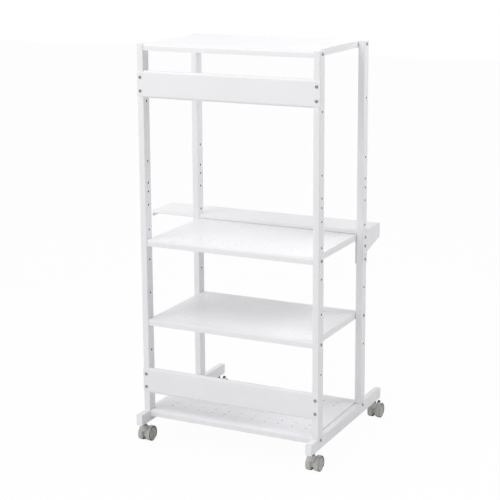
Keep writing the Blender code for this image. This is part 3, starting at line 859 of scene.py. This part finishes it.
def make_web(end, side):
    axle = caster_centre(end, side)
    bm = bmesh.new()
    bmesh.ops.create_cone(
        bm,
        cap_ends=True,
        segments=64,
        radius1=WEB_RADIUS,
        radius2=WEB_RADIUS,
        depth=WEB_WIDTH,
        matrix=Matrix.Translation(axle) @ Matrix.Rotation(math.pi / 2, 4, "Y"),
    )
    made = bmesh.ops.bisect_plane(
        bm,
        geom=bm.verts[:] + bm.edges[:] + bm.faces[:],
        dist=WELD,
        plane_co=(0, 0, WEB_FOOT),
        plane_no=(0, 0, -1),
        clear_outer=True,
    )
    rim = [part for part in made["geom_cut"] if isinstance(part, bmesh.types.BMEdge)]
    bmesh.ops.holes_fill(bm, edges=rim, sides=0)
    name = f"caster_web_{end}_{side}"
    return finish_piece(name, bm, hood_nylon, f"caster_{end}_{side}", [], 0, WEB_EDGE)


def make_boss(end, side):
    low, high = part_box(f"caster_stem_{end}_{side}")
    x, y = (low.x + high.x) / 2, (low.y + high.y) / 2
    bm = bmesh.new()
    points = [Vector((x + radius * MM, y, height * MM)) for radius, height in BOSS_PROFILE]
    spin_profile(bm, points, (x, y, 0), (0, 0, 1), math.tau, 40)
    name = f"caster_boss_{end}_{side}"
    return finish_piece(name, bm, hood_nylon, f"caster_{end}_{side}", [])


# %% Stopper, and the four hoods
LEVER_ANGLE = math.radians(35)
LEVER_WIDTH = 9 * MM
LEVER_THICKNESS = 5 * MM
LEVER_FROM = 24 * MM
LEVER_REACH = 42 * MM
LEVER_TIP = 2.3 * MM
LEVER_SIDE = 0.7 * MM
LEVER_EDGE = 0.3 * MM


def make_stopper(side):
    """A small lever with a rounded tip, tilted up behind the hood."""
    axle = caster_centre("rear", side)
    half = Vector((LEVER_WIDTH / 2, 0, LEVER_THICKNESS / 2))
    bm = box_bm(Vector((0, LEVER_FROM, 0)) - half, Vector((0, LEVER_REACH, 0)) + half)
    round_edges(bm, LEVER_TIP, 5, lambda run, middle: abs(run.x) > 0.9 and middle.y > LEVER_REACH - MM)
    round_edges(bm, LEVER_SIDE, 2, lambda run, middle: abs(run.y) > 0.9 and abs(middle.x) > 4 * MM)
    tilt = Matrix.Translation(axle) @ Matrix.Rotation(LEVER_ANGLE, 4, "X")
    bmesh.ops.transform(bm, matrix=tilt, verts=bm.verts)
    name = f"caster_stopper_rear_{side}"
    return finish_piece(name, bm, tread_rubber, f"caster_rear_{side}", [], 0, LEVER_EDGE)


for side in ("left", "right"):
    make_stopper(side)
    for end in ("front", "rear"):
        fenders = make_fenders(end, side)
        make_web(end, side)
        make_boss(end, side)
        print(fenders.name, len(fenders.data.polygons), "faces before its wall")

# %% [markdown]
# ## Stems
# The stem is turned steel: a collar under the rail, a shallow groove in it, and the grip pushed up into
# the tube. One profile and a full spin make it.

# %% Stems
GRIP_RADIUS = 5
COLLAR_PROFILE = [
    (5, 67.7),
    (7.4, 67.7),
    (8, 67.1),
    (8, 64.6),
    (7.3, 64.2),
    (7.3, 62.8),
    (8, 62.4),
    (8, 59.9),
    (7.4, 59.3),
    (5, 59.3),
]
STEM_SHARP = 35


def make_stem(end, side):
    node = f"caster_stem_{end}_{side}"
    low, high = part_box(node)
    centre = (low + high) / 2
    bottom, top = low.z / MM, high.z / MM
    chamfer = [(0, top), (GRIP_RADIUS - 1, top), (GRIP_RADIUS, top - 1)]
    profile = chamfer + COLLAR_PROFILE + [(GRIP_RADIUS, bottom), (0, bottom)]
    bm = bmesh.new()
    points = [Vector((centre.x + radius * MM, centre.y, height * MM)) for radius, height in profile]
    spin_profile(bm, points, (centre.x, centre.y, 0), (0, 0, 1), math.tau, 40)
    return finish_piece(f"{node}_pin", bm, stem_zinc_painted_shade, "frame", [node], 0, 0, STEM_SHARP)


for end in ("front", "rear"):
    for side in ("left", "right"):
        print(make_stem(end, side).name)

# %% [markdown]
# ## Wheels
# Each wheel is a nylon disc with a tread band round it. The disc's face is dished inside a raised rim and
# has a round hub cap in the middle. Both are closed profiles spun a full turn round the axle.

# %% Wheels
DISC_PROFILE = [
    (3.2, 14.5),
    (6.4, 14.5),
    (7.0, 14.2),
    (7.4, 13.4),
    (8.6, 13.0),
    (16.0, 14.2),
    (19.2, 16.2),
    (20.2, 17.3),
    (21.4, 17.6),
    (22.4, 17.1),
    (22.6, 16.2),
    (22.6, 1.2),
    (3.2, 1.2),
]
TREAD_PROFILE = [
    (22.4, 17.3),
    (24.0, 17.3),
    (24.8, 16.7),
    (25.0, 15.8),
    (25.0, 6.0),
    (24.4, 3.4),
    (23.4, 1.8),
    (22.4, 1.2),
]
HUB_CAP_PROFILE = [(0, 15.6), (3.0, 15.5), (5.2, 15.0), (6.2, 14.2), (6.2, 13.0), (0, 13.0)]


def wheel_ring(profile, centre, sign):
    """A closed profile of (radius, along) points spun round the axle; along starts at the inner face."""
    bm = bmesh.new()
    verts = [
        bm.verts.new(centre + Vector((sign * along * MM, 0, radius * MM))) for radius, along in profile
    ]
    edges = [bm.edges.new(pair) for pair in zip(verts, verts[1:] + verts[:1])]
    bmesh.ops.spin(
        bm,
        geom=verts + edges,
        cent=centre,
        axis=(1, 0, 0),
        angle=math.tau,
        steps=64,
        use_merge=True,
    )
    return bm


def make_wheel(end, side, hand):
    node = f"caster_wheel_{end}_{side}_{hand}"
    low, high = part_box(node)
    centre = (low + high) / 2
    sign = -1 if hand == "a" else 1
    centre.x = low.x if sign > 0 else high.x
    body = f"wheel_{end}_{side}_{hand}"
    disc = wheel_ring(DISC_PROFILE, centre, sign)
    finish_piece(f"{node}_disc", disc, disc_nylon, body, [node])
    tread = wheel_ring(TREAD_PROFILE, centre, sign)
    finish_piece(f"{node}_tread", tread, tread_rubber, body, [], 0, 0, TURNED_SHARP)
    cap = bmesh.new()
    points = [centre + Vector((sign * along * MM, 0, radius * MM)) for radius, along in HUB_CAP_PROFILE]
    spin_profile(cap, points, centre, (1, 0, 0), math.tau, 40)
    finish_piece(f"{node}_cap", cap, hood_nylon, body, [])


wheels = [(end, side, hand) for end in ("front", "rear") for side in ("left", "right") for hand in "ab"]
for end, side, hand in wheels:
    make_wheel(end, side, hand)
print("wheels:", len(wheels))

# %% [markdown]
# ## Floor, light and camera
# The rack stands on a plain white floor. A camera ray sees the floor mostly as white light, so it reads
# as paper, and what is left of the diffuse share keeps a soft shadow under the casters.

# %% Floor
FLOOR_HALF = 12
GLOW_SHARE = 0.965


def paper_floor():
    made = bpy.data.materials.new("plain_white_floor")
    made.use_nodes = True
    tree = made.node_tree
    tree.nodes.clear()
    position = add_node(tree, "ShaderNodeTexCoord").outputs["Object"]
    mottle = spread(tree, noise_mm(tree, position, 400), 0.0, 1.0)
    tint = mix_colours(tree, mottle, linear("F4F4F4"), linear("F1F1F1"))
    matt = add_node(tree, "ShaderNodeBsdfDiffuse", Color=tint).outputs[0]
    glow = add_node(tree, "ShaderNodeEmission", Color=(1, 1, 1, 1), Strength=1.0).outputs[0]
    path = add_node(tree, "ShaderNodeLightPath")
    share = add_node(
        tree, "ShaderNodeMath", {"operation": "MULTIPLY"}, _0=path.outputs["Is Camera Ray"], _1=GLOW_SHARE
    ).outputs[0]
    both = add_node(tree, "ShaderNodeMixShader", _0=share, _1=matt, _2=glow).outputs[0]
    add_node(tree, "ShaderNodeOutputMaterial", Surface=both)
    return made


bm = bmesh.new()
bmesh.ops.create_grid(bm, x_segments=1, y_segments=1, size=FLOOR_HALF)
floor_mesh = bpy.data.meshes.new("floor")
bm.to_mesh(floor_mesh)
bm.free()
floor_mesh.materials.append(paper_floor())
floor = bpy.data.objects.new("floor", floor_mesh)
bpy.context.scene.collection.objects.link(floor)
floor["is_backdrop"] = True

# %% [markdown]
# The room gives a soft light that is weaker from the right and from overhead. The faces that look to the
# right are a little darker than the fronts, and the shelves are lit into their corners.

# %% Room light
world = bpy.data.worlds.new("studio")
bpy.context.scene.world = world
world.use_nodes = True
tree = world.node_tree
tree.nodes.clear()
seen_from = add_node(tree, "ShaderNodeTexCoord").outputs["Generated"]
toward = add_node(tree, "ShaderNodeSeparateXYZ", Vector=seen_from)
rightward = {"From_Min": -0.2, "From_Max": 0.9, "To_Min": 1.14, "To_Max": 0.36}
upward = {"From_Min": 0.25, "From_Max": 0.9, "To_Min": 1.0, "To_Max": 0.42}
from_right = add_node(
    tree, "ShaderNodeMapRange", Value=toward.outputs["X"], **rightward
).outputs["Result"]
from_above = add_node(tree, "ShaderNodeMapRange", Value=toward.outputs["Z"], **upward).outputs["Result"]
strength = add_node(
    tree, "ShaderNodeMath", {"operation": "MULTIPLY"}, _0=from_right, _1=from_above
).outputs[0]
path = add_node(tree, "ShaderNodeLightPath").outputs["Is Camera Ray"]
room = add_node(tree, "ShaderNodeBackground", Color=(1, 1, 1, 1), Strength=strength).outputs[0]
paper = add_node(tree, "ShaderNodeBackground", Color=(1, 1, 1, 1), Strength=1.0).outputs[0]
seen = add_node(tree, "ShaderNodeMixShader", _0=path, _1=room, _2=paper).outputs[0]
add_node(tree, "ShaderNodeOutputWorld", Surface=seen)

# %% [markdown]
# Two soft boxes do the rest. A large one above and in front lights the fronts and the shelf tops, and a
# smaller one on the right, above the back, lights the sides.

# %% Lamps
AIM = (0.0, 0.0, 0.7)


def softbox(name, place, side, watts):
    """A square lamp at place, side metres wide, that looks at the middle of the rack."""
    lamp = bpy.data.lights.new(name, "AREA")
    lamp.shape = "RECTANGLE"
    lamp.size = side
    lamp.size_y = side
    lamp.energy = watts
    holder = bpy.data.objects.new(name, lamp)
    holder.location = place
    aim = Vector(AIM) - Vector(place)
    holder.rotation_euler = aim.to_track_quat("-Z", "Y").to_euler()
    bpy.context.scene.collection.objects.link(holder)
    print(name, watts, "W")


softbox("key_softbox", place=(-0.6, -1.65, 3.4), side=1.7, watts=33)
softbox("fill_softbox", place=(1.8, 0.7, 2.3), side=1.3, watts=19)

# %% [markdown]
# The camera stands to the right of the rack and a little above it, with a long lens, which keeps the
# uprights almost parallel. Its place is measured from the front left upright.

# %% Camera
CAMERA_FROM_CORNER = Vector((2.3398, -3.9113, 0.0))
CAMERA_HEIGHT = Vector((0.0, 0.0, 1.7833))
YAW, PITCH, ROLL = (math.radians(angle) for angle in (26.279, -11.950, -0.308))
FOCAL_LENGTH = 100.53
FRAMING_SHIFT = -0.09
lens = bpy.data.cameras.new("camera")
lens.sensor_width = 36
lens.lens = FOCAL_LENGTH
lens.shift_y = FRAMING_SHIFT
camera = bpy.data.objects.new("camera", lens)
turn = Matrix.Rotation(YAW, 4, "Z") @ Matrix.Rotation(math.pi / 2 + PITCH, 4, "X")
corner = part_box("upright_front_left")[0]
place = Vector((corner.x, corner.y, 0)) + CAMERA_FROM_CORNER + CAMERA_HEIGHT
camera.matrix_world = Matrix.Translation(place) @ turn @ Matrix.Rotation(ROLL, 4, "Z")
bpy.context.scene.collection.objects.link(camera)
bpy.context.scene.camera = camera
bpy.context.scene.view_settings.view_transform = "Standard"

# %% [markdown]
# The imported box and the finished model's box are written side by side, so that they can be compared.

# %% Size
look_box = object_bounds()
growth = (look_box[1] - look_box[0]) - (cad_box[1] - cad_box[0])
print("grew by, mm:", [round(side / MM, 1) for side in growth])
